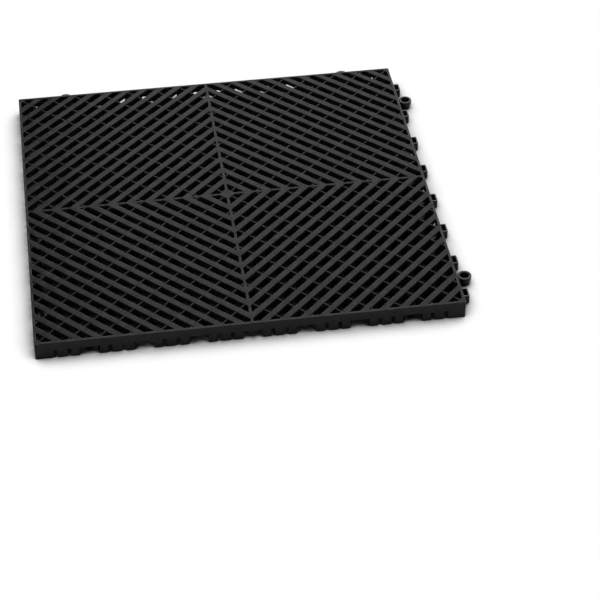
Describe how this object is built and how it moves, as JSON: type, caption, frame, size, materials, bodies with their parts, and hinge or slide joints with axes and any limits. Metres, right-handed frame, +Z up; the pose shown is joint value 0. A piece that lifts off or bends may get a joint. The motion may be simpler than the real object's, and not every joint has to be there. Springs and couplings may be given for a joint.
{
  "type": "drainage floor tile",
  "caption": "Square snap-together floor tile: a diamond pattern of flat ribs over thin fins, with pegs on two edges and loops on the other two.",
  "frame": {"origin": "middle of the tile's square body, on the underside of the centre foot, which is the floor plane", "axes": "+Z up through the walking surface; +X and +Y point out of the two edges with loops, and the two edges with pegs face -X and -Y"},
  "size_m": [0.4162, 0.4162, 0.018],
  "materials": {
    "plastic": "near-black moulded polypropylene, satin, with a fine grain"
  },
  "bodies": {
    "root": {"quarter_back_right": "plastic", "quarter_back_left": "plastic", "quarter_front_left": "plastic", "quarter_front_right": "plastic"}
  },
  "joints": []
}
